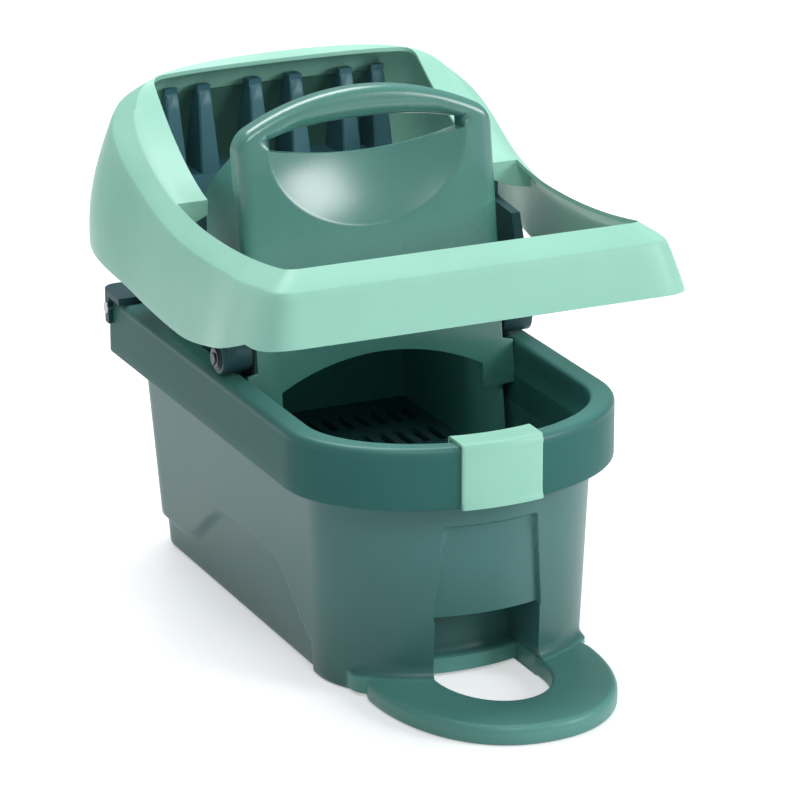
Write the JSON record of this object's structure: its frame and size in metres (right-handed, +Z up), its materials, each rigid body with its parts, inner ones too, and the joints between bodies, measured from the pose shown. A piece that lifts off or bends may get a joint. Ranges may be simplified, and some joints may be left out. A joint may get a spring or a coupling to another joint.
{
  "type": "mop bucket with press wringer",
  "caption": "Oblong mop bucket with a foot loop and a hinged hood-and-bow lever that presses a flat mop against a fixed plate with a carrying handle.",
  "frame": {"origin": "on the floor, under the middle of the rim", "axes": "+X to the right, +Y to the rear where the hood is, +Z up"},
  "size_m": [0.325, 0.5043, 0.3779],
  "materials": {
    "deep_green": "satin injection moulded polypropylene",
    "mint": "satin injection moulded polypropylene",
    "teal": "satin injection moulded polypropylene",
    "slate": "satin injection moulded polypropylene",
    "bush_black": "smooth acetal",
    "steel": "zinc plated",
    "rubber": "matt"
  },
  "bodies": {
    "base": {"bucket": "deep_green", "rim_clip": "mint", "press_plate": "teal", "basket": "teal", "rear_yoke": "slate", "drain_grate": "slate", "pivot_bracket_left": "steel", "pivot_bracket_right": "steel", "pivot_pin_left": "steel", "pivot_pin_right": "steel", "thrust_washer_left": "steel", "thrust_washer_right": "steel", "retaining_ring_left": "steel", "retaining_ring_right": "steel", "plate_screws": "steel", "bracket_rivets": "steel", "yoke_screws": "steel", "stop_buffers": "rubber"},
    "lever": {"lever": "mint", "press_jaw": "slate", "pivot_arm_left": "slate", "pivot_arm_right": "slate", "pivot_bush_left": "bush_black", "pivot_bush_right": "bush_black", "arm_screws": "steel", "jaw_screws": "steel"},
    "lock_pin_left": {"lock_pin_left": "steel"},
    "lock_pin_right": {"lock_pin_right": "steel"}
  },
  "joints": [
    {"name": "lever_hinge", "type": "hinge", "parent": "base", "child": "lever", "pos_m": [0, 0, 0.199], "axis": [1, 0, 0], "range_deg": [0, 21.5]},
    {"name": "lock_pin_left_slide", "type": "slide", "parent": "base", "child": "lock_pin_left", "axis": [-1, 0, 0], "range_m": [0, 0.006]},
    {"name": "lock_pin_right_slide", "type": "slide", "parent": "base", "child": "lock_pin_right", "axis": [1, 0, 0], "range_m": [0, 0.006]}
  ]
}
